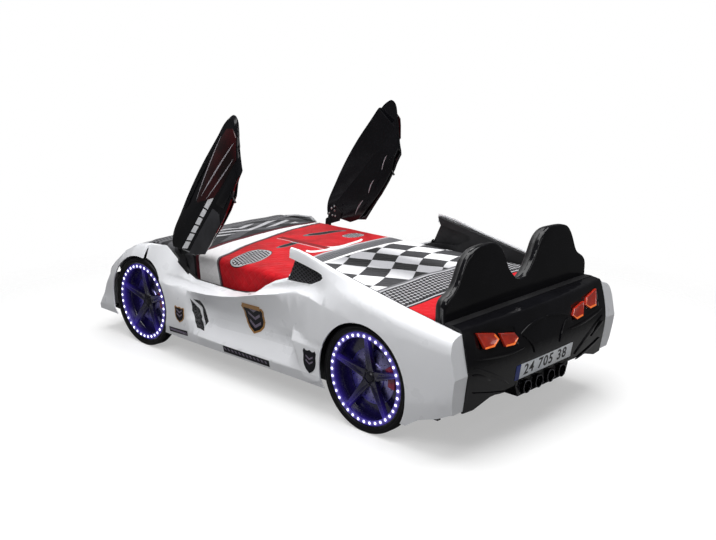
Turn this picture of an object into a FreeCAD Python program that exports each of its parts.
"""Race-car bed for a child: white moulded body over a black board frame.

Row frame: +X to the nose, +Y to the car's left, +Z up, origin on the floor under
the middle of the body.  Millimetres.  The doors are modelled open, as the bed is
shown; they are drawn closed first and then turned about their hinge pins.
"""
import FreeCAD, Part
import math
import os

V = FreeCAD.Vector

# ---------------------------------------------------------------- driving sizes
# Sleeping place
MATTRESS_LENGTH = 1900.0
MATTRESS_WIDTH = 900.0
MATTRESS_THICKNESS = 200.0
MATTRESS_CROWN = 9.0
SPREAD_THICKNESS = 8.0
SPREAD_LOFT = 36.0
SPREAD_CROWN = 20.0
SPREAD_DROP = 170.0
TUCK_GAP = 20.0
END_GAP = 9.0

# Board frame
BOARD_THICKNESS = 18.0
BOARD_BOTTOM = 130.0
RAIL_WIDTH = 32.0
RAIL_HEIGHT = 45.0
PLATFORM_HEIGHT = 300.0
SLAT_THICKNESS = 12.0
SLAT_WIDTH = 70.0
SLAT_COUNT = 14
BEAM_WIDTH = 45.0
BEAM_HEIGHT = 60.0
FOOT_COUNT = 3
FOOT_RADIUS = 24.0
BRACKET_LEG = 40.0
BRACKET_STEEL = 3.0
BRACKET_HEIGHT = 90.0
BRACKET_Z = 155.0
SCREW_RADIUS = 3.0
SCREW_DEPTH = 14.0

# Headboard
HEADBOARD_THICKNESS = 22.0
HEADBOARD_HEIGHT = 785.0
HEADBOARD_FOOT = 150.0
PAD_THICKNESS = 44.0
PAD_FOOT = 420.0
PAD_ROUND = 16.0

# Body
SHELL_WALL = 6.0
MESH_THICKNESS = 3.0
SIDE_DEPTH = 80.0
TAIL_DEPTH = 137.0
NOSE_LENGTH = 318.0
FRONT_OVERHANG = 414.0
REAR_OVERHANG = 495.0
TAIL_BULGE = 22.0
NOSE_BULGE = 43.0
SILL_HEIGHT = 406.0

# Wheels
AXLE_HEIGHT = 225.0
TYRE_RADIUS = 227.0
TYRE_WIDTH = 62.0
RIM_RADIUS = 195.0
RIM_WALL = 12.0
RIM_DEPTH = 52.0
LIGHT_RING_OUTER = 191.6
LIGHT_RING_INNER = 172.0
LIGHT_RING_THICKNESS = 5.0
BRAKE_DISC_RADIUS = 118.0
SPOKE_COUNT = 5
ARCH_GAP = 10.0

# Doors
DOOR_OPEN_ANGLE = 45.5
DOOR_HINGE_BACK = 286.0
DOOR_HINGE_HEIGHT = 525.0
DOOR_THICKNESS = 30.0
DOOR_PANEL = 6.0
DOOR_WALL = 4.0
DOOR_EDGE = 12.0
DOOR_GAP = 4.0
DOOR_BELT_LIFT = 45.0
DOOR_LEAN = 9.5
WINDOW_SHARE = 0.982
HINGE_PIN_RADIUS = 7.0
HINGE_PLATE = 6.0
PEG_RADIUS = 5.0

# Clearances
SEAT_GAP = 0.3
RUNNING_GAP = 0.06

# ---------------------------------------------------------------- derived places
BODY_LENGTH = (TAIL_DEPTH + HEADBOARD_THICKNESS + PAD_THICKNESS + 2.0 * END_GAP
               + MATTRESS_LENGTH + BOARD_THICKNESS + NOSE_LENGTH)
TAIL_X = -BODY_LENGTH / 2.0
NOSE_X = BODY_LENGTH / 2.0
HEADBOARD_X = TAIL_X + TAIL_DEPTH
PAD_X = HEADBOARD_X + HEADBOARD_THICKNESS
MATTRESS_X = PAD_X + PAD_THICKNESS + END_GAP
FRONT_BOARD_X = MATTRESS_X + MATTRESS_LENGTH + END_GAP
HOOD_X = FRONT_BOARD_X + BOARD_THICKNESS
FRONT_AXLE = NOSE_X - FRONT_OVERHANG
REAR_AXLE = TAIL_X + REAR_OVERHANG
HINGE_X = FRONT_AXLE - DOOR_HINGE_BACK
PILLAR_X = REAR_AXLE + 478.0
BOARD_Y = MATTRESS_WIDTH / 2.0 + TUCK_GAP
SHELL_Y = BOARD_Y + BOARD_THICKNESS
MATTRESS_Z = PLATFORM_HEIGHT + SLAT_THICKNESS
MATTRESS_TOP = MATTRESS_Z + MATTRESS_THICKNESS
ARCH_RADIUS = TYRE_RADIUS + ARCH_GAP
DOOR_Y = SHELL_Y + 19.0
DOOR_BELT = DOOR_HINGE_HEIGHT + DOOR_BELT_LIFT
BIG = 3000.0


# ---------------------------------------------------------------- small tools
def curve(knots):
    """A smooth curve through (x, value) knots that never overshoots them."""
    points = sorted(knots)
    xs = [p[0] for p in points]
    vs = [p[1] for p in points]
    last = len(xs) - 1
    slopes = [(vs[i + 1] - vs[i]) / (xs[i + 1] - xs[i]) for i in range(last)]
    tangents = [0.0] * len(xs)
    for i in range(1, last):
        if slopes[i - 1] * slopes[i] > 0:
            before = xs[i] - xs[i - 1]
            after = xs[i + 1] - xs[i]
            weight_a = 2 * after + before
            weight_b = after + 2 * before
            tangents[i] = (weight_a + weight_b) / (weight_a / slopes[i - 1] + weight_b / slopes[i])

    def value(x):
        if x <= xs[0]:
            return vs[0]
        if x >= xs[-1]:
            return vs[-1]
        i = max(j for j in range(last) if xs[j] <= x)
        step = xs[i + 1] - xs[i]
        t = (x - xs[i]) / step
        return (vs[i] * (1 + 2 * t) * (1 - t) ** 2 + step * tangents[i] * t * (1 - t) ** 2
                + vs[i + 1] * t * t * (3 - 2 * t) + step * tangents[i + 1] * t * t * (t - 1))
    return value


def spline(points):
    """A smooth edge through the points."""
    line = Part.BSplineCurve()
    line.interpolate(points)
    return line.toShape()


def eased(points):
    """More points between these, in one plane of x, on a line that never overshoots."""
    reach = [0.0]
    for a, b in zip(points, points[1:]):
        reach.append(reach[-1] + a.distanceToPoint(b))
    along_y = curve([(s, p.y) for s, p in zip(reach, points)])
    along_z = curve([(s, p.z) for s, p in zip(reach, points)])
    steps = []
    for a, b in zip(reach, reach[1:]):
        steps.extend([a, a + (b - a) / 3.0, a + (b - a) * 2.0 / 3.0])
    steps.append(reach[-1])
    return [V(points[0].x, along_y(s), along_z(s)) for s in steps]


def run_wire(runs, place):
    """A closed wire of runs: two points make a line, more make a spline."""
    edges = []
    for run in runs:
        points = [place(a, b) for a, b in run]
        if len(points) == 2:
            edges.append(Part.makeLine(points[0], points[1]))
        else:
            edges.append(spline(points))
    return Part.Wire(edges)


def slab_xz(runs, y0, y1):
    """A plate with an outline in the XZ plane, from y0 to y1."""
    face = Part.Face(run_wire(runs, lambda x, z: V(x, y0, z)))
    return face.extrude(V(0, y1 - y0, 0))


def slab_yz(runs, x0, x1):
    """A plate with an outline in the YZ plane, from x0 to x1."""
    face = Part.Face(run_wire(runs, lambda y, z: V(x0, y, z)))
    return face.extrude(V(x1 - x0, 0, 0))


def slab_xy(runs, z0, z1):
    """A plate with an outline in the XY plane, from z0 to z1."""
    face = Part.Face(run_wire(runs, lambda x, y: V(x, y, z0)))
    return face.extrude(V(0, 0, z1 - z0))


def sides(points):
    """The straight runs round a polygon."""
    return [[points[i], points[(i + 1) % len(points)]] for i in range(len(points))]


def block(x0, x1, y0, y1, z0, z1):
    return Part.makeBox(x1 - x0, y1 - y0, z1 - z0, V(x0, y0, z0))


def rod_y(radius, x, z, y0, y1):
    return Part.makeCylinder(radius, y1 - y0, V(x, y0, z), V(0, 1, 0))


def rod_x(radius, y, z, x0, x1):
    return Part.makeCylinder(radius, x1 - x0, V(x0, y, z), V(1, 0, 0))


def moved(shape, dx, dy, dz):
    copy = shape.copy()
    copy.translate(V(dx, dy, dz))
    return copy


def mirrored(shape):
    """The same piece on the car's right."""
    return shape.mirror(V(0, 0, 0), V(0, 1, 0))


def both_sides(shapes):
    return Part.makeCompound(shapes + [mirrored(shape) for shape in shapes])


def save(name, shape):
    """Write one node and say what it holds."""
    shape.exportStep("parts/" + name + ".step")
    good = all(solid.isValid() for solid in shape.Solids)
    print("%-26s %2d solids  %9.1f cm3  %s" % (name, len(shape.Solids), shape.Volume / 1000.0,
                                               "ok" if good else "NOT VALID"))


# ---------------------------------------------------------------- side body
# Heights and depths along the side, each as (x, value) knots tied to the axles,
# the hinge and the pillar.  Depths are measured outward from the shell's inner face.
roof_z = curve([(FRONT_AXLE + 371, 325), (FRONT_AXLE + 277, 385), (FRONT_AXLE + 187, 452),
                (FRONT_AXLE + 114, 492), (FRONT_AXLE + 17, 520), (FRONT_AXLE - 116, 530),
                (HINGE_X - 230, 590), (HINGE_X - 530, 640), (PILLAR_X, 678),
                (REAR_AXLE + 189, 622), (REAR_AXLE - 184, 547), (REAR_AXLE - 446, 503),
                (REAR_AXLE - 480, 497)])
crest_d = curve([(FRONT_AXLE + 371, 6), (FRONT_AXLE + 250, 14), (FRONT_AXLE - 16, 20),
                 (HINGE_X, 8), (PILLAR_X - 100, 8), (REAR_AXLE, 16), (REAR_AXLE - 480, 14)])
shoulder_d = curve([(FRONT_AXLE + 371, 30), (FRONT_AXLE + 256, 46), (FRONT_AXLE - 16, 54),
                    (FRONT_AXLE - 176, 40), (HINGE_X - 100, 14), (PILLAR_X - 60, 14),
                    (REAR_AXLE + 175, 30), (REAR_AXLE, 46), (REAR_AXLE - 480, 48)])
shoulder_drop = curve([(FRONT_AXLE + 371, 18), (FRONT_AXLE - 16, 34), (HINGE_X - 130, 30),
                       (PILLAR_X - 120, 26), (REAR_AXLE, 24), (REAR_AXLE - 480, 12)])
flank_d = curve([(FRONT_AXLE + 371, 46), (FRONT_AXLE + 284, 66), (FRONT_AXLE - 16, 72),
                 (FRONT_AXLE - 176, 58), (HINGE_X - 110, 20), (PILLAR_X - 100, 20),
                 (REAR_AXLE + 215, 46), (REAR_AXLE, 68), (REAR_AXLE - 385, 70),
                 (REAR_AXLE - 480, 66)])
flank_z = curve([(FRONT_AXLE + 371, 270), (FRONT_AXLE + 256, 335), (FRONT_AXLE + 168, 400),
                 (FRONT_AXLE + 65, 445), (FRONT_AXLE - 116, 440), (HINGE_X + 30, 400),
                 (HINGE_X - 110, 395), (HINGE_X - 480, 433), (HINGE_X - 650, 480),
                 (PILLAR_X, 506), (REAR_AXLE + 355, 540), (REAR_AXLE + 175, 556),
                 (REAR_AXLE, 530), (REAR_AXLE - 265, 488), (REAR_AXLE - 480, 468)])
crease_d = curve([(FRONT_AXLE + 371, 60), (FRONT_AXLE + 284, 76), (FRONT_AXLE - 216, 78),
                  (HINGE_X - 110, 66), (PILLAR_X - 43, 66), (REAR_AXLE + 285, 72),
                  (REAR_AXLE + 135, 80), (REAR_AXLE - 385, 80), (REAR_AXLE - 480, 76)])
crease_z = curve([(FRONT_AXLE + 371, 235), (FRONT_AXLE + 256, 300), (FRONT_AXLE + 168, 350),
                  (FRONT_AXLE - 116, 372), (HINGE_X - 14, 364), (HINGE_X - 255, 374),
                  (HINGE_X - 482, 410), (HINGE_X - 615, 446), (PILLAR_X + 28, 478),
                  (PILLAR_X - 123, 508), (REAR_AXLE + 175, 480), (REAR_AXLE, 460),
                  (REAR_AXLE - 265, 445), (REAR_AXLE - 480, 436)])
waist_d = curve([(FRONT_AXLE + 371, 68), (FRONT_AXLE + 184, 80), (HINGE_X - 105, 78),
                 (HINGE_X - 160, 24), (HINGE_X - 530, 22), (PILLAR_X + 57, 34),
                 (PILLAR_X - 73, 54), (REAR_AXLE + 255, 80), (REAR_AXLE - 385, 81),
                 (REAR_AXLE - 480, 77)])
waist_z = curve([(FRONT_AXLE + 371, 205), (FRONT_AXLE - 116, 292), (HINGE_X - 230, 292),
                 (PILLAR_X - 43, 322), (REAR_AXLE, 335), (REAR_AXLE - 480, 335)])
ledge_d = curve([(FRONT_AXLE + 371, 74), (FRONT_AXLE + 184, 80), (HINGE_X - 135, 78),
                 (HINGE_X - 195, 42), (HINGE_X - 815, 42), (PILLAR_X - 103, 78),
                 (REAR_AXLE - 385, 80), (REAR_AXLE - 480, 75)])
ledge_z = curve([(FRONT_AXLE + 371, 180), (FRONT_AXLE - 216, 232), (HINGE_X - 230, 220),
                 (PILLAR_X - 43, 258), (REAR_AXLE, 268), (REAR_AXLE - 480, 278)])
rocker_d = curve([(FRONT_AXLE + 371, 78), (FRONT_AXLE + 184, 82), (REAR_AXLE - 385, 78),
                  (REAR_AXLE - 480, 70)])
rocker_z = curve([(FRONT_AXLE + 371, 150), (FRONT_AXLE - 216, 166), (HINGE_X - 230, 162),
                  (REAR_AXLE + 335, 176), (REAR_AXLE - 165, 188), (REAR_AXLE - 480, 246)])
hem_d = curve([(FRONT_AXLE + 371, 74), (FRONT_AXLE + 184, 72), (REAR_AXLE - 385, 66),
               (REAR_AXLE - 480, 58)])
hem_z = curve([(FRONT_AXLE + 371, 118), (HINGE_X + 8, 115), (REAR_AXLE + 216, 129),
               (REAR_AXLE, 124), (REAR_AXLE - 228, 98), (REAR_AXLE - 294, 142),
               (REAR_AXLE - 392, 176), (REAR_AXLE - 480, 212)])

SIDE_STATIONS = ([FRONT_AXLE + d for d in (371, 314, 256, 168, 65, -16, -116, -176, -216)]
                 + [HINGE_X + d for d in (-14, -60, -105, -132, -160, -195, -255, -380, -480, -615)]
                 + [PILLAR_X + d for d in (57, 0, -43, -103, -173)]
                 + [REAR_AXLE + d for d in (215, 135, 0, -165, -228, -294, -385, -440, -480)])


def side_section(x):
    """One cross-section of the full side body, before the door opening is cut."""
    top = roof_z(x)
    inner_top = V(x, SHELL_Y, top)
    inner_hem = V(x, SHELL_Y, hem_z(x))
    shoulder = [inner_top, V(x, SHELL_Y + crest_d(x), top - 2.0),
                V(x, SHELL_Y + shoulder_d(x), top - shoulder_drop(x)),
                V(x, SHELL_Y + flank_d(x), flank_z(x)), V(x, SHELL_Y + crease_d(x), crease_z(x))]
    waist = [shoulder[-1], V(x, SHELL_Y + waist_d(x), waist_z(x)),
             V(x, SHELL_Y + ledge_d(x), ledge_z(x))]
    rocker = V(x, SHELL_Y + rocker_d(x), rocker_z(x))
    hem = V(x, SHELL_Y + hem_d(x), hem_z(x))
    return Part.Wire([spline(eased(shoulder)), spline(eased(waist)), Part.makeLine(waist[-1], rocker),
                      Part.makeLine(rocker, hem), Part.makeLine(hem, inner_hem),
                      Part.makeLine(inner_hem, inner_top)])


sill_z = curve([(FRONT_AXLE - 36, 585), (FRONT_AXLE - 116, 553), (HINGE_X + 110, 523),
                (HINGE_X + 21, 466), (HINGE_X - 98, SILL_HEIGHT), (HINGE_X - 386, SILL_HEIGHT),
                (HINGE_X - 552, 433), (HINGE_X - 605, 473), (HINGE_X - 675, 510),
                (PILLAR_X + 40, 534), (PILLAR_X - 5, 548)])


def door_opening():
    """What the door opening takes out of the side: its floor is the sloping sill."""
    stations = ([FRONT_AXLE - 36, FRONT_AXLE - 116]
                + [HINGE_X + d for d in (110, 21, -40, -98, -240, -386, -470, -552, -605, -675)]
                + [PILLAR_X + 40, PILLAR_X])
    inner = SHELL_Y - 30.0
    outer = SHELL_Y + SIDE_DEPTH + 30.0
    sections = []
    for x in stations:
        slope = (crease_z(x) + 2.0 - sill_z(x)) / crease_d(x)
        low_in = sill_z(x) - 30.0 * slope
        low_out = sill_z(x) + slope * (outer - SHELL_Y)
        sections.append(Part.makePolygon([V(x, inner, low_in), V(x, outer, low_out),
                                          V(x, outer, 900), V(x, inner, 900), V(x, inner, low_in)]))
    return Part.makeLoft(sections, True, True, False)


# The quarter window behind the door opening, open at its front.
WINDOW = [(PILLAR_X + 27, 529), (PILLAR_X + 5, 636), (PILLAR_X - 183, 606), (PILLAR_X - 206, 600),
          (PILLAR_X - 216, 588), (PILLAR_X - 205, 576), (PILLAR_X - 123, 538), (PILLAR_X - 40, 532)]
WINDOW_MESH = [(PILLAR_X - 26, 640), (PILLAR_X - 190, 613), (PILLAR_X - 222, 600),
               (PILLAR_X - 226, 580), (PILLAR_X - 125, 529), (PILLAR_X + 30, 524)]

# The slanted front end and tail end of the side body, as XZ outlines of what is cut away.
NOSE_EDGE_X = FRONT_AXLE + 292
NOSE_CREASE_X = FRONT_AXLE + 271
SPLITTER_X = NOSE_X - NOSE_BULGE
NOSE_CUT = [(NOSE_X + 200, 60), (NOSE_X + 200, 760), (NOSE_EDGE_X + 27, 760), (NOSE_EDGE_X, 361),
            (NOSE_CREASE_X, 324), (SPLITTER_X, 138), (SPLITTER_X, 60)]
TAIL_TOP_X = TAIL_X + 56
TAIL_MID_X = TAIL_X + TAIL_BULGE
TAIL_LOW_X = TAIL_X + 42
TAIL_CUT = [(TAIL_X - 200, 60), (TAIL_LOW_X + 22, 60), (TAIL_LOW_X, 200), (TAIL_MID_X, 350),
            (TAIL_TOP_X, 510), (TAIL_TOP_X + 4, 760), (TAIL_X - 200, 760)]

VENT = [(HINGE_X - 128, 330), (HINGE_X - 138, 322), (HINGE_X - 214, 200), (HINGE_X - 232, 232),
        (HINGE_X - 162, 318)]
VENT_BACK = [(HINGE_X - 118, 342), (HINGE_X - 128, 318), (HINGE_X - 212, 186), (HINGE_X - 244, 232),
             (HINGE_X - 168, 330)]


def make_side():
    """The full side body and its hollow shell, on the car's left."""
    body = Part.makeLoft([side_section(x) for x in SIDE_STATIONS], True, True, False)
    body = body.cut(door_opening())
    body = body.cut(slab_xz(sides(WINDOW), SHELL_Y - 40, SHELL_Y + 140))
    body = body.cut(slab_xz(sides(NOSE_CUT), SHELL_Y - 40, SHELL_Y + 140))
    body = body.cut(slab_xz(sides(TAIL_CUT), SHELL_Y - 40, SHELL_Y + 140))
    tail_wall = slab_xz(sides([(x + SHELL_WALL, z) for x, z in TAIL_CUT]), SHELL_Y - 40, SHELL_Y + 140)
    shell = body.cut(moved(body, -SHELL_WALL / 2.0, -SHELL_WALL, -SHELL_WALL).cut(tail_wall))
    for axle in (FRONT_AXLE, REAR_AXLE):
        shell = shell.cut(rod_y(ARCH_RADIUS, axle, AXLE_HEIGHT, SHELL_Y - 40, SHELL_Y + 140))
    shell = shell.cut(slab_xz(sides(VENT), SHELL_Y, SHELL_Y + 140))
    return body, shell


def vent_mesh(body):
    """Dark mesh just inside the vent behind the front wheel."""
    prism = slab_xz(sides(VENT_BACK), SHELL_Y + 1, SHELL_Y + 140)
    outer = SHELL_WALL + SEAT_GAP
    inner = outer + MESH_THICKNESS
    sheet = prism.common(moved(body, -outer / 2.0, -outer, -outer))
    return largest(sheet.cut(moved(body, -inner / 2.0, -inner, -inner)))


def largest(shape):
    """The biggest solid of a cut, without the crumbs."""
    return max(shape.Solids, key=lambda solid: solid.Volume)


# ---------------------------------------------------------------- hinge and doors
CATCH_X = HINGE_X - 540.0
CATCH_Y = DOOR_Y + DOOR_THICKNESS / 2.0
BRACKET_FOOT = SILL_HEIGHT - 76.0


def sill_surface(x, y):
    """Height of the sloping sill at one place."""
    share = (y - SHELL_Y) / crease_d(x)
    return sill_z(x) + (crease_z(x) + 2.0 - sill_z(x)) * share


def catch_rod(radius, above, below):
    """A rod along the door's swing at the catch, from above the sill to below it."""
    middle = V(CATCH_X, CATCH_Y, sill_surface(CATCH_X, CATCH_Y))
    arm = middle - V(HINGE_X, CATCH_Y, DOOR_HINGE_HEIGHT)
    swing = V(-arm.z, 0, arm.x)
    swing.normalize()
    if swing.z < 0:
        swing = swing * -1.0
    return Part.makeCylinder(radius, above + below, middle - swing * below, swing)


def door_catch():
    """Tube in the sill that takes the door's peg."""
    return catch_rod(PEG_RADIUS + 4.0, -1.5, 22.0).cut(catch_rod(PEG_RADIUS + 2.0, 5.0, 30.0))


def hinge_bracket():
    """Steel plate on the side board with its fixed pin, on the left."""
    foot = BRACKET_FOOT
    outline = sides([(HINGE_X - 42, foot), (HINGE_X + 42, foot), (HINGE_X + 30, foot + 90),
                     (HINGE_X + 17, DOOR_HINGE_HEIGHT + 10), (HINGE_X + 8, DOOR_HINGE_HEIGHT + 18),
                     (HINGE_X - 8, DOOR_HINGE_HEIGHT + 18), (HINGE_X - 17, DOOR_HINGE_HEIGHT + 10),
                     (HINGE_X - 30, foot + 90)])
    plate = slab_xz(outline, SHELL_Y, SHELL_Y + HINGE_PLATE)
    for bore in hinge_screws(SCREW_RADIUS + RUNNING_GAP, False):
        plate = plate.cut(bore)
    arm_y = DOOR_Y - HINGE_PLATE
    collar = rod_y(HINGE_PIN_RADIUS + 5, HINGE_X, DOOR_HINGE_HEIGHT, SHELL_Y, arm_y - 0.5)
    pin = rod_y(HINGE_PIN_RADIUS, HINGE_X, DOOR_HINGE_HEIGHT, SHELL_Y, DOOR_Y + 2.0)
    head = rod_y(HINGE_PIN_RADIUS + 4, HINGE_X, DOOR_HINGE_HEIGHT, DOOR_Y + 0.5, DOOR_Y + 5.0)
    return plate.fuse([collar, pin, head])


def door_outline(inset):
    """The closed door seen from the side: roof line, rear edge, sill edge, front edge."""
    pin = DOOR_HINGE_HEIGHT - inset
    sill = SILL_HEIGHT + inset
    roof = [(HINGE_X - 4 - inset, pin + 41), (HINGE_X - 53, pin + 82), (HINGE_X - 157, pin + 114),
            (HINGE_X - 253, pin + 136), (HINGE_X - 390, pin + 161), (HINGE_X - 519, pin + 176),
            (HINGE_X - 665, pin + 185), (HINGE_X - 768, pin + 184), (PILLAR_X - 19 + inset, pin + 172)]
    rear = [roof[-1], (PILLAR_X - 27 + inset, DOOR_HINGE_HEIGHT + 143),
            (PILLAR_X + 9 + inset, DOOR_HINGE_HEIGHT + 91), (PILLAR_X + 62 + inset, SILL_HEIGHT + 149),
            (PILLAR_X + 137 + inset, sill + 30)]
    low = [rear[-1], (HINGE_X - 538, sill + 2), (HINGE_X - 290, sill - 34), (HINGE_X - 235, sill - 32)]
    front = [low[-1], (HINGE_X - 112 - inset, sill + 22), roof[0]]
    straight = [[low[i], low[i + 1]] for i in range(3)] + [[front[i], front[i + 1]] for i in range(2)]
    return [roof, rear] + straight


def leaned(shape):
    """A door piece with all that is above the belt line turned inward."""
    above = block(-BIG, BIG, -BIG, BIG, DOOR_BELT, BIG)
    upper = shape.common(above)
    upper.rotate(V(0, DOOR_Y + DOOR_THICKNESS, DOOR_BELT), V(1, 0, 0), DOOR_LEAN)
    lower = shape.cut(above)
    return lower.fuse(upper) if lower.Solids else upper


def make_door(body):
    """The left door's pieces, closed, with the room that the sill and the pillar need."""
    sill = moved(body, 0, 0, DOOR_GAP)
    pillar = block(-BIG, PILLAR_X + 60, 0, DOOR_Y, 0, BIG)
    y_in = DOOR_Y
    y_panel = y_in + DOOR_PANEL
    y_out = y_in + DOOR_THICKNESS
    edge_y = y_out - DOOR_EDGE
    rim = slab_xz(door_outline(0.0), y_panel, edge_y)
    crown = Part.makeLoft([run_wire(door_outline(0.0), lambda x, z: V(x, edge_y, z)),
                           run_wire(door_outline(DOOR_EDGE + 2.0), lambda x, z: V(x, y_out, z))], True, True)
    leaf = rim.fuse(crown)
    window = slab_xz(window_outline(WINDOW_SHARE), y_out - 7.0, y_out - 3.0)
    recess = slab_xz(window_outline(1.0), y_out - 7.0 - SEAT_GAP, y_out + 5.0)
    hollow = slab_xz(door_outline(DOOR_WALL + 3.0), y_panel - 5.0, edge_y)
    shell = leaned(leaf.cut(hollow).cut(recess)).cut(sill).cut(pillar)
    shell = largest(shell.cut(catch_rod(PEG_RADIUS + SEAT_GAP, 60.0, 20.0)))
    panel = leaned(slab_xz(door_outline(2.0), y_in, y_panel - SEAT_GAP)).cut(sill).cut(pillar)
    arm_y = y_in - HINGE_PLATE
    pin_z = DOOR_HINGE_HEIGHT
    arm = slab_xz(sides([(HINGE_X - 96, pin_z + 40), (HINGE_X - 104, pin_z - 25), (HINGE_X - 60, pin_z - 47),
                         (HINGE_X + 6, pin_z - 15), (HINGE_X + 16, pin_z), (HINGE_X + 10, pin_z + 14),
                         (HINGE_X - 34, pin_z + 40)]), arm_y, y_in - SEAT_GAP)
    arm = arm.cut(rod_y(HINGE_PIN_RADIUS + RUNNING_GAP, HINGE_X, pin_z, arm_y - 5, y_in + 5))
    for screw_x, screw_z in ((-88, 27), (-90, -13), (-62, 32), (-62, -29)):
        arm = arm.fuse(rod_y(6.0, HINGE_X + screw_x, pin_z + screw_z, arm_y - 3.0, arm_y))
    peg = catch_rod(PEG_RADIUS, 30.0, 16.0)
    return {"shell": shell, "inner_panel": largest(panel.cut(shell)), "window": leaned(window),
            "hinge_arm": arm, "peg": peg}


def window_outline(share):
    """The leaf-shaped door window, grown or shrunk about its own middle."""
    points = scaled([(HINGE_X - 215, DOOR_HINGE_HEIGHT + 92), (HINGE_X - 380, DOOR_HINGE_HEIGHT + 124),
                     (HINGE_X - 560, DOOR_HINGE_HEIGHT + 141), (HINGE_X - 700, DOOR_HINGE_HEIGHT + 140),
                     (HINGE_X - 716, DOOR_HINGE_HEIGHT + 104), (HINGE_X - 560, DOOR_HINGE_HEIGHT + 62)],
                    share)
    return [points[:4], points[3:5], points[4:], [points[5], points[0]]]


def opened(shape):
    """Turn a door piece from closed to open about its hinge pin."""
    copy = shape.copy()
    copy.rotate(V(HINGE_X, 0, DOOR_HINGE_HEIGHT), V(0, 1, 0), DOOR_OPEN_ANGLE)
    return copy


# ---------------------------------------------------------------- nose
def nose_section(y):
    """Side view of the hood and bumper at one distance from the centre line."""
    share = 1.0 - (y / SHELL_Y) ** 2
    push = NOSE_BULGE * share
    lift = 14.0 * share
    span = NOSE_EDGE_X + push - HOOD_X
    hood = []
    for part in (0.0, 0.25, 0.5, 0.75, 1.0):
        x = HOOD_X + span * part
        base = HOOD_X + (NOSE_EDGE_X - HOOD_X) * part
        hood.append(V(x, y, roof_z(base) + lift * (1.0 - part * 0.5)))
    lip = V(NOSE_EDGE_X + push, y, 361)
    crease = V(NOSE_CREASE_X + push, y, 324)
    tip = V(SPLITTER_X + push, y, 138)
    hem = V(SPLITTER_X + push, y, 118)
    back = V(HOOD_X, y, 118)
    return Part.Wire([spline(hood), Part.makeLine(hood[-1], lip), Part.makeLine(lip, crease),
                      Part.makeLine(crease, tip), Part.makeLine(tip, hem), Part.makeLine(hem, back),
                      Part.makeLine(back, hood[0])])


def make_nose():
    """Hood and bumper shell, grille, headlight lenses and splitter."""
    half = SHELL_Y - SEAT_GAP
    body = Part.makeLoft([nose_section(y) for y in (-half, -half * 0.6, -half * 0.25, half * 0.25,
                                                    half * 0.6, half)], True, False, False)
    shell = body.cut(moved(body, -SHELL_WALL, 0, -SHELL_WALL))
    mouth = sides([(-250, 286), (250, 286), (205, 172), (-205, 172)])
    grille = slab_yz(mouth, HOOD_X, NOSE_X + 50)
    grille = grille.common(moved(body, -8.0, 0, 0)).cut(moved(body, -14.0, 0, 0))
    room = slab_yz(sides([(-251, 287), (251, 287), (206, 171), (-206, 171)]), HOOD_X, NOSE_X + 50)
    shell = shell.cut(room)
    lamp = [(NOSE_EDGE_X - 60, 455), (NOSE_EDGE_X - 118, 462), (NOSE_EDGE_X - 40, 330),
            (NOSE_EDGE_X + 2, 318)]
    for side in (1, -1):
        spot = slab_xy(sides([(x, side * y) for x, y in lamp]), 330, 620)
        lens = spot.common(body).cut(moved(body, -5.0, 0, -5.0))
        grown = slab_xy(sides([(x, side * y) for x, y in scaled(lamp, 1.006)]), 330, 620)
        shell = shell.cut(grown)
        if side == 1:
            left_lens = lens
        else:
            right_lens = lens
    splitter_back = HOOD_X + 60
    arc = [(SPLITTER_X - 2.0 + NOSE_BULGE * (1.0 - t * t), t * (half - 4)) for t in
           (-1.0, -0.6, -0.2, 0.2, 0.6, 1.0)]
    splitter = slab_xy([arc, [arc[-1], (splitter_back, half - 4)],
                        [(splitter_back, half - 4), (splitter_back, -half + 4)],
                        [(splitter_back, -half + 4), arc[0]]], 106, 117.7)
    lenses = Part.makeCompound(left_lens.Solids + right_lens.Solids)
    return largest(shell), largest(grille), lenses, splitter


def scaled(points, factor):
    """A polygon grown about its own middle."""
    cx = sum(p[0] for p in points) / len(points)
    cy = sum(p[1] for p in points) / len(points)
    return [(cx + (x - cx) * factor, cy + (y - cy) * factor) for x, y in points]


# ---------------------------------------------------------------- tail
def tail_section(y):
    """Side view of the rear panel at one distance from the centre line."""
    push = -TAIL_BULGE * (1.0 - (y / SHELL_Y) ** 2)
    front = HEADBOARD_X - 36.0
    face = [V(TAIL_TOP_X + push, y, 512), V(TAIL_TOP_X - 24 + push, y, 430),
            V(TAIL_MID_X + push, y, 345), V(TAIL_LOW_X - 12 + push, y, 270),
            V(TAIL_LOW_X + push, y, 190)]
    lip = V(TAIL_TOP_X + 6 + push, y, 520)
    return Part.Wire([Part.makeLine(V(front, y, 526), lip), Part.makeLine(lip, face[0]), spline(face),
                      Part.makeLine(face[-1], V(front, y, 190)),
                      Part.makeLine(V(front, y, 190), V(front, y, 526))])


PLATE_SIZE = (400.0, 65.0, 2.0)
PLATE_Z = 283.0
PLATE_TILT = 8.5
PLATE_X = TAIL_X + 10.0
LAMPS = [[(322, 424), (408, 430), (414, 486), (334, 478)], [(198, 408), (268, 414), (276, 462), (212, 456)]]
EXHAUST_Y = [-125.0, -42.0, 42.0, 125.0]
EXHAUST_RADIUS = 27.0
EXHAUST_Z = 211.0


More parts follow.
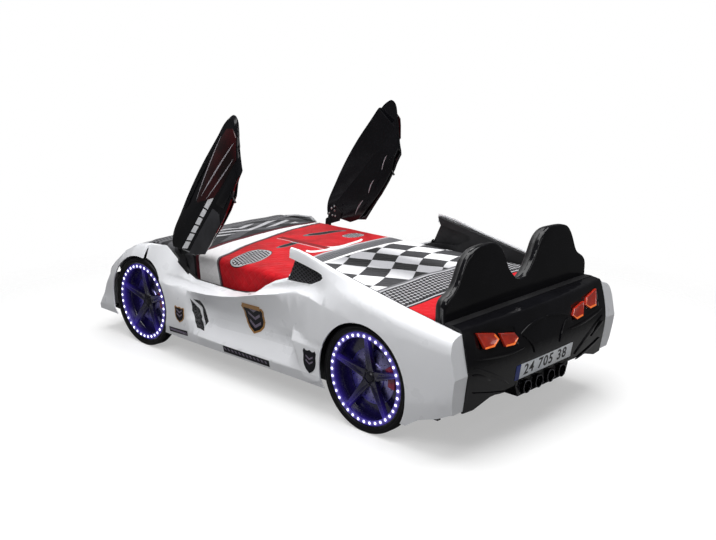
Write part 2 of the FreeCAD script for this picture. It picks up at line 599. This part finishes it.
def make_tail():
    """Rear panel with its lamps, plate seat and diffuser."""
    half = SHELL_Y - SEAT_GAP
    wall = SHELL_WALL + 3.0
    body = Part.makeLoft([tail_section(y) for y in (-half, -half * 0.6, -half * 0.25, half * 0.25,
                                                    half * 0.6, half)], True, False, False)
    panel = body.cut(moved(body, wall, 0, -wall))
    lenses = []
    for side in (1, -1):
        both = [(side * 186, 398), (side * 300, 402), (side * 428, 418), (side * 432, 500),
                (side * 200, 472)]
        tray = slab_yz(sides(both), TAIL_X - 60, HEADBOARD_X)
        panel = panel.cut(tray.cut(moved(body, 4.0, 0, 0)))
        for lamp in LAMPS:
            spot = slab_yz(sides([(side * y, z) for y, z in lamp]), TAIL_X - 60, HEADBOARD_X)
            lens = spot.common(moved(body, 1.5, 0, 0)).cut(moved(body, 12.0, 0, 0))
            lenses.append(largest(lens))
            room = slab_yz(sides([(side * y, z) for y, z in scaled(lamp, 1.012)]), TAIL_X - 60, HEADBOARD_X)
            panel = panel.cut(room)
    below = sides([(-600, 100), (-600, 196), (-430, 193), (-340, 222), (-192, 230), (-186, 247),
                   (186, 247), (192, 230), (340, 222), (430, 193), (600, 196), (600, 100)])
    panel = panel.cut(slab_yz(below, TAIL_X - 60, HEADBOARD_X + 60))
    width, height, thickness = PLATE_SIZE
    plate = Part.makeBox(thickness, width, height, V(-thickness, -width / 2, -height / 2))
    seat = Part.makeBox(60, width + 2, height + 2, V(-60, -width / 2 - 1, -height / 2 - 1))
    for shape in (plate, seat):
        shape.rotate(V(0, 0, 0), V(0, 1, 0), -PLATE_TILT)
        shape.translate(V(PLATE_X, 0, PLATE_Z))
    panel = panel.cut(seat)
    return largest(panel), lenses, plate


def make_diffuser():
    """Finned block under the rear panel with four exhaust tips in it."""
    top = 246.7
    outline = sides([(-185, top), (185, top), (190, 226), (170, 178), (-170, 178), (-190, 226)])
    block_x = TAIL_X + 16
    body = slab_yz(outline, block_x, HEADBOARD_X - 40)
    tips = []
    for y in EXHAUST_Y:
        body = body.cut(rod_x(EXHAUST_RADIUS + SEAT_GAP, y, EXHAUST_Z, block_x - 10, block_x + 46))
        tip = rod_x(EXHAUST_RADIUS, y, EXHAUST_Z, TAIL_X + 0.5, block_x + 46 - SEAT_GAP)
        tips.append(tip.cut(rod_x(EXHAUST_RADIUS - 4, y, EXHAUST_Z, TAIL_X - 1, block_x + 30)))
    for y in (-83.5, 0.0, 83.5):
        body = body.cut(block(block_x - 5, block_x + 12, y - 5, y + 5, 170, 240))
    return body, Part.makeCompound(tips)


# ---------------------------------------------------------------- headboard
def headboard_outline(inset, foot):
    """Two rounded humps with a U between them, as YZ runs."""
    half = SHELL_Y - 1.0 - inset
    top = HEADBOARD_HEIGHT - inset
    hump = [(half, top - 209), (half - 14, top - 178), (half - 67, top - 144), (half - 100, top - 94),
            (half - 154, top - 19), (250, top), (190 + inset, top - 2), (148 + inset, top - 22),
            (100 + inset * 0.8, top - 95), (48 + inset * 0.3, top - 160), (0, top - 180)]
    mirror_hump = [(-y, z) for y, z in reversed(hump)]
    full = hump + mirror_hump[1:]
    return [full, [full[-1], (-half, foot)], [(-half, foot), (half, foot)], [(half, foot), full[0]]]


def make_headboard():
    board = slab_yz(headboard_outline(0.0, HEADBOARD_FOOT), HEADBOARD_X, PAD_X)
    rear_face = [edge for edge in board.Edges
                 if abs(edge.BoundBox.XMax - HEADBOARD_X) < 0.01 and edge.BoundBox.ZMax > 570]
    board = board.makeChamfer(5.0, rear_face)
    pad = slab_yz(headboard_outline(2.0, PAD_FOOT), PAD_X + SEAT_GAP, PAD_X + PAD_THICKNESS)
    front_face = [edge for edge in pad.Edges if abs(edge.BoundBox.XMin - PAD_X - PAD_THICKNESS) < 0.01]
    pad = pad.makeFillet(PAD_ROUND, front_face)
    return board, pad


# ---------------------------------------------------------------- frame
def side_board():
    """Inner board on the left: high at the quarter, low at the door, up to the fender."""
    low = SILL_HEIGHT - 3.0
    tail = PAD_X + SEAT_GAP
    behind_pad = PAD_X + PAD_THICKNESS + SEAT_GAP
    runs = [(tail, BOARD_BOTTOM), (FRONT_BOARD_X, BOARD_BOTTOM), (FRONT_BOARD_X, roof_z(FRONT_BOARD_X) - 9),
            (FRONT_AXLE - 16, 508), (HINGE_X + 104, 512), (HINGE_X + 21, 460), (HINGE_X - 98, low),
            (HINGE_X - 386, low), (HINGE_X - 548, 428), (HINGE_X - 605, 467), (HINGE_X - 675, 504),
            (PILLAR_X + 34, 528), (PILLAR_X - 26, 634), (PILLAR_X - 12, 668), (REAR_AXLE + 189, 614),
            (REAR_AXLE - 184, 539), (behind_pad, roof_z(behind_pad) - 8), (behind_pad, PAD_FOOT - 6),
            (tail, PAD_FOOT - 6)]
    board = slab_xz(sides(runs), BOARD_Y, SHELL_Y)
    board = board.cut(slab_xz(sides(WINDOW), BOARD_Y - 5, SHELL_Y + 5))
    rebate = slab_xz(sides(scaled(WINDOW_MESH, 1.004)), SHELL_Y - MESH_THICKNESS - SEAT_GAP, SHELL_Y + 5)
    board = board.cut(rebate)
    for x, way in corner_places():
        for bore in corner_screws(x, way, SCREW_RADIUS + RUNNING_GAP, False):
            board = board.cut(bore)
    for bore in hinge_screws(SCREW_RADIUS + RUNNING_GAP, False):
        board = board.cut(bore)
    return largest(board)


def drilled(cross_board, place):
    """A cross board with the holes for the bracket screws of both its corners."""
    x, way = place
    for bore in corner_screws(x, way, SCREW_RADIUS + RUNNING_GAP, False):
        cross_board = cross_board.cut(bore).cut(mirrored(bore))
    return cross_board


def corner_places():
    """Corner brackets on the left: (corner x, direction away from the cross board)."""
    return [(PAD_X, 1.0), (FRONT_BOARD_X, -1.0)]


def screw_heights():
    return [BRACKET_Z + BRACKET_HEIGHT * share for share in (0.25, 0.75)]


def corner_bracket(x, way):
    """Steel angle in the corner between the side board and a cross board."""
    near = x + way * SEAT_GAP
    far = x + way * BRACKET_LEG
    inner = BOARD_Y - BRACKET_LEG
    top = BRACKET_Z + BRACKET_HEIGHT
    along = block(min(near, far), max(near, far), BOARD_Y - BRACKET_STEEL, BOARD_Y, BRACKET_Z, top)
    across = block(min(near, near + way * BRACKET_STEEL), max(near, near + way * BRACKET_STEEL),
                   inner, BOARD_Y, BRACKET_Z, top)
    angle = along.fuse(across)
    for bore in corner_screws(x, way, SCREW_RADIUS + RUNNING_GAP, False):
        angle = angle.cut(bore)
    return angle


def corner_screws(x, way, radius, head):
    """Screws of one corner bracket: two into the side board, two into the cross board."""
    screws = []
    far = x + way * BRACKET_LEG * 0.65
    for z in screw_heights():
        body = rod_y(radius, far, z, BOARD_Y - BRACKET_STEEL - 1, BOARD_Y + SCREW_DEPTH)
        if head:
            body = body.fuse(rod_y(radius * 2, far, z, BOARD_Y - BRACKET_STEEL - 3, BOARD_Y - BRACKET_STEEL))
        screws.append(body)
        y = BOARD_Y - BRACKET_LEG * 0.65
        face = x + way * (BRACKET_STEEL + SEAT_GAP)
        tip = x - way * SCREW_DEPTH
        body = rod_x(radius, y, z, min(tip, face + way), max(tip, face + way))
        if head:
            body = body.fuse(rod_x(radius * 2, y, z, min(face, face + way * 3), max(face, face + way * 3)))
        screws.append(body)
    return screws


def hinge_screws(radius, head):
    """Two screws that hold a hinge bracket to the side board."""
    screws = []
    outer = SHELL_Y + HINGE_PLATE
    z = BRACKET_FOOT + 22.0
    for side in (-1, 1):
        x = HINGE_X + side * 26.0
        body = rod_y(radius, x, z, SHELL_Y - SCREW_DEPTH, outer + 1)
        if head:
            body = body.fuse(rod_y(radius * 2, x, z, outer, outer + 3))
        screws.append(body)
    return screws


def control_box():
    """Box for the lights under the centre beam, with the barrel of its power inlet."""
    x0 = MATTRESS_X + 110.0
    high = PLATFORM_HEIGHT - BEAM_HEIGHT
    box = block(x0, x0 + 120, -45, 45, high - 42, high)
    box = box.makeFillet(4.0, [edge for edge in box.Edges if edge.BoundBox.ZMax < high - 1])
    inlet = rod_x(8.0, 0, high - 21, x0 - 9, x0)
    box = box.fuse(inlet)
    return box.cut(rod_x(5.5, 0, high - 21, x0 - 10, x0 + 4))


def slats():
    span = MATTRESS_LENGTH - SLAT_WIDTH - 20.0
    step = span / (SLAT_COUNT - 1)
    first = MATTRESS_X + 10.0
    return [block(first + i * step, first + i * step + SLAT_WIDTH, -BOARD_Y + 4, BOARD_Y - 4,
                  PLATFORM_HEIGHT, MATTRESS_Z) for i in range(SLAT_COUNT)]


def cushion(grow, lift, crown):
    """A mattress-like form: bulged sides, rounded upper edges and a crown."""
    low = MATTRESS_Z + SEAT_GAP
    x0 = MATTRESS_X + 2.0 - grow
    x1 = MATTRESS_X + MATTRESS_LENGTH - 2.0 + grow
    half = MATTRESS_WIDTH / 2.0 + grow
    top = MATTRESS_TOP - crown + lift
    sections = []
    for share, pull, drop in ((0.0, 7.0, 16.0), (0.006, 3.0, 8.0), (0.03, 1.0, 3.0), (0.12, 0.0, 1.0),
                              (0.5, 0.5, 0.0), (0.88, 0.0, 1.0), (0.97, 1.0, 3.0), (0.994, 3.0, 8.0),
                              (1.0, 7.0, 16.0)):
        x = x0 + (x1 - x0) * share
        w = half - pull
        z = top - drop
        half_run = [(w - 5, low), (w, (low + z) / 2), (w - 4, z - 24), (w - 10, z - 9), (w - 26, z - 3)]
        right = [V(x, y, h) for y, h in half_run]
        left = [V(x, -y, h) for y, h in half_run]
        edges = [Part.Arc(right[0], right[1], right[2]), Part.Arc(right[2], right[3], right[4]),
                 Part.Arc(right[4], V(x, 0, z + crown), left[4]), Part.Arc(left[4], left[3], left[2]),
                 Part.Arc(left[2], left[1], left[0])]
        sections.append(Part.Wire([edge.toShape() for edge in edges]
                                  + [Part.makeLine(left[0], right[0])]))
    return Part.makeLoft(sections, True, True, False)


# ---------------------------------------------------------------- wheels
def spoke():
    """One tapering star spoke along +Z, before the wheel is placed."""
    root_y = SHELL_Y + 8.0
    tip_y = SHELL_Y + RIM_DEPTH - 14.0
    root_r = 31.0
    tip_r = RIM_RADIUS - RIM_WALL + 1.0

    def cross(r, width, y0, depth):
        return Part.makePolygon([V(-width / 2, y0, r), V(width / 2, y0, r),
                                 V(width * 0.3, y0 + depth, r), V(-width * 0.3, y0 + depth, r),
                                 V(-width / 2, y0, r)])
    return Part.makeLoft([cross(root_r, 46, root_y, 16), cross(tip_r, 20, tip_y, 13)], True, True)


def make_wheel():
    """The pieces of one wheel round the Y axis, seated on the side board's outer face."""
    back = rod_y(RIM_RADIUS, 0, 0, SHELL_Y, SHELL_Y + 3.0)
    barrel = rod_y(RIM_RADIUS, 0, 0, SHELL_Y, SHELL_Y + RIM_DEPTH)
    barrel = barrel.cut(rod_y(RIM_RADIUS - RIM_WALL, 0, 0, SHELL_Y - 1, SHELL_Y + RIM_DEPTH + 1))
    hub = rod_y(38.0, 0, 0, SHELL_Y, SHELL_Y + 22.0)
    spokes = []
    for i in range(SPOKE_COUNT):
        arm = spoke()
        arm.rotate(V(0, 0, 0), V(0, 1, 0), 360.0 / SPOKE_COUNT * i)
        spokes.append(arm)
    rim = back.fuse([barrel, hub] + spokes)
    ring_y = SHELL_Y + RIM_DEPTH
    ring = rod_y(LIGHT_RING_OUTER, 0, 0, ring_y, ring_y + LIGHT_RING_THICKNESS)
    ring = ring.cut(rod_y(LIGHT_RING_INNER, 0, 0, ring_y - 1, ring_y + 20))
    disc = rod_y(BRAKE_DISC_RADIUS, 0, 0, SHELL_Y + 3.0, SHELL_Y + 6.0)
    disc = disc.cut(rod_y(38.0 + SEAT_GAP, 0, 0, SHELL_Y, SHELL_Y + 20))
    inner = RIM_RADIUS + SEAT_GAP
    y0 = SHELL_Y + 1.0
    y1 = y0 + TYRE_WIDTH
    profile = [V(inner, y0, 0), V(TYRE_RADIUS - 16, y0, 0), V(TYRE_RADIUS - 3, y0 + 6, 0),
               V(TYRE_RADIUS, y0 + 14, 0), V(TYRE_RADIUS, y1 - 14, 0), V(TYRE_RADIUS - 3, y1 - 5, 0),
               V(TYRE_RADIUS - 12, y1, 0), V(inner + 6, y1 - 1, 0), V(inner, y1 - 6, 0), V(inner, y0, 0)]
    tyre = Part.Face(Part.makePolygon(profile)).revolve(V(0, 0, 0), V(0, 1, 0), 360)
    floor = block(-BIG, BIG, 0, BIG, -BIG, -AXLE_HEIGHT)
    tyre = tyre.cut(floor)
    cap_y = SHELL_Y + 24.0
    cap = Part.makeCone(24.0, 19.0, 7.0, V(0, cap_y, 0), V(0, 1, 0))
    nuts = []
    for i in range(SPOKE_COUNT):
        angle = math.radians(36.0 + 72.0 * i)
        nuts.append(rod_y(5.5, 30.5 * math.sin(angle), 30.5 * math.cos(angle), SHELL_Y + 22.0, cap_y + 2))
    cap = cap.fuse(rod_y(23.9, 0, 0, SHELL_Y + 22.0, cap_y))
    return {"tyre": tyre, "rim": rim, "light_ring": ring, "brake_disc": disc,
            "caliper": caliper(), "cap": Part.makeCompound([cap] + nuts)}


def caliper():
    """Red brake caliper on the upper rear of the disc."""
    outer = rod_y(BRAKE_DISC_RADIUS + 10, 0, 0, SHELL_Y + 6.3, SHELL_Y + 17.0)
    outer = outer.cut(rod_y(BRAKE_DISC_RADIUS - 26, 0, 0, SHELL_Y, SHELL_Y + 30))
    wedge = sides([(0, 0), (-300, 210), (-300, -70)])
    return outer.common(slab_xz(wedge, SHELL_Y, SHELL_Y + 40))


def place_wheel(shape, axle, right):
    piece = moved(shape, axle, 0, AXLE_HEIGHT)
    return mirrored(piece) if right else piece


# ---------------------------------------------------------------- badges
BIG_SHIELD = [(HINGE_X - 464, 400), (HINGE_X - 460, 384), (HINGE_X - 470, 380), (HINGE_X - 480, 330),
              (HINGE_X - 545, 268), (HINGE_X - 600, 310), (HINGE_X - 648, 366), (HINGE_X - 640, 388),
              (HINGE_X - 620, 398)]
FRONT_SHIELD = [(HINGE_X + 20, 262), (HINGE_X - 48, 258), (HINGE_X - 52, 226), (HINGE_X - 18, 192),
                (HINGE_X + 18, 222)]
REAR_SHIELD = [(REAR_AXLE + 358, 262), (REAR_AXLE + 296, 268), (REAR_AXLE + 262, 250),
               (REAR_AXLE + 262, 212), (REAR_AXLE + 300, 176), (REAR_AXLE + 350, 214)]
SILL_BAND = [(HINGE_X - 362, 152), (HINGE_X - 362, 122), (HINGE_X - 683, 130), (HINGE_X - 683, 160)]


def badge(points, body):
    """A thin plate that follows the side's surface."""
    prism = slab_xz(sides(points), SHELL_Y + 8, SHELL_Y + 120)
    return largest(prism.common(moved(body, 0, 1.5, 0)).cut(moved(body, 0, SEAT_GAP, 0)))


# ---------------------------------------------------------------- build
def build():
    os.makedirs("parts", exist_ok=True)
    body, shell = make_side()
    bracket = hinge_bracket()
    slot = block(HINGE_X - 44, HINGE_X + 44, SHELL_Y - 1, SHELL_Y + HINGE_PLATE + 1,
                 BRACKET_FOOT - 10, DOOR_HINGE_HEIGHT + 95)
    shell = largest(shell.cut(slot))
    board = side_board()
    shell = largest(shell.cut(catch_rod(PEG_RADIUS + 4.0 + SEAT_GAP, 30.0, 40.0)))
    save("left_side_shell", shell)
    save("right_side_shell", mirrored(shell))
    save("left_side_board", board)
    save("right_side_board", mirrored(board))
    save("hinge_brackets", both_sides([bracket]))
    save("door_catches", both_sides([door_catch()]))
    save("side_vent_meshes", both_sides([vent_mesh(body)]))

    for name, piece in make_door(body).items():
        piece = opened(piece)
        save("left_door_" + name, piece)
        save("right_door_" + name, mirrored(piece))

    nose_shell, grille, lenses, splitter = make_nose()
    save("front_shell", nose_shell)
    save("front_grille", grille)
    save("headlight_lenses", lenses)
    save("front_splitter", splitter)

    panel, lamps, plate = make_tail()
    save("rear_panel", panel)
    save("tail_lamp_lenses", Part.makeCompound(lamps))
    save("number_plate", plate)
    diffuser, tips = make_diffuser()
    save("rear_diffuser", diffuser)
    save("exhaust_tips", tips)
    save("rear_deck", block(HEADBOARD_X - 36 + SEAT_GAP, HEADBOARD_X - SEAT_GAP, -SHELL_Y + 2, SHELL_Y - 2,
                            504, 528))

    headboard, pad = make_headboard()
    save("headboard_board", drilled(headboard, corner_places()[0]))
    save("headboard_pad", pad)

    front_board = block(FRONT_BOARD_X, HOOD_X, -SHELL_Y + SEAT_GAP, SHELL_Y - SEAT_GAP, BOARD_BOTTOM,
                        roof_z(FRONT_BOARD_X) - 12)
    save("front_board", drilled(front_board, corner_places()[1]))
    save("corner_brackets", both_sides([corner_bracket(x, way) for x, way in corner_places()]))
    screws = hinge_screws(SCREW_RADIUS, True)
    for x, way in corner_places():
        screws.extend(corner_screws(x, way, SCREW_RADIUS, True))
    save("frame_screws", both_sides(screws))
    save("control_box", control_box())
    rail = block(MATTRESS_X, FRONT_BOARD_X - 4, BOARD_Y - RAIL_WIDTH, BOARD_Y,
                 PLATFORM_HEIGHT - RAIL_HEIGHT, PLATFORM_HEIGHT)
    save("slat_rails", both_sides([rail]))
    save("slats", Part.makeCompound(slats()))
    beam_low = PLATFORM_HEIGHT - BEAM_HEIGHT
    save("centre_beam", block(PAD_X + SEAT_GAP, FRONT_BOARD_X - SEAT_GAP, -BEAM_WIDTH / 2, BEAM_WIDTH / 2,
                              beam_low, PLATFORM_HEIGHT))
    feet = [Part.makeCylinder(FOOT_RADIUS, beam_low, V(MATTRESS_X + MATTRESS_LENGTH * (i + 0.5)
                                                       / FOOT_COUNT, 0, 0)) for i in range(FOOT_COUNT)]
    save("beam_feet", Part.makeCompound(feet))

    mattress = cushion(0.0, 0.0, MATTRESS_CROWN)
    spread = cushion(SPREAD_THICKNESS, SPREAD_LOFT, SPREAD_CROWN)
    spread = spread.cut(cushion(SEAT_GAP, SEAT_GAP, MATTRESS_CROWN))
    spread = spread.cut(block(-BIG, BIG, -BIG, BIG, 0, MATTRESS_TOP - SPREAD_DROP))
    save("mattress", mattress)
    save("bedspread", largest(spread))

    mesh = slab_xz(sides(WINDOW_MESH), SHELL_Y - MESH_THICKNESS, SHELL_Y)
    save("quarter_window_meshes", both_sides([mesh]))
    save("side_badges", both_sides([badge(points, body) for points in
                                    (BIG_SHIELD, FRONT_SHIELD, REAR_SHIELD, SILL_BAND)]))

    wheel = make_wheel()
    corners = (("front_left", FRONT_AXLE, False), ("front_right", FRONT_AXLE, True),
               ("rear_left", REAR_AXLE, False), ("rear_right", REAR_AXLE, True))
    for corner, axle, right in corners:
        for piece in ("tyre", "rim", "light_ring", "brake_disc"):
            save(corner + "_" + piece, place_wheel(wheel[piece], axle, right))
    save("brake_calipers", Part.makeCompound([place_wheel(wheel["caliper"], axle, right)
                                              for corner, axle, right in corners]))
    caps = []
    for corner, axle, right in corners:
        caps.extend(place_wheel(wheel["cap"], axle, right).Solids)
    save("wheel_centre_caps", Part.makeCompound(caps))


build()
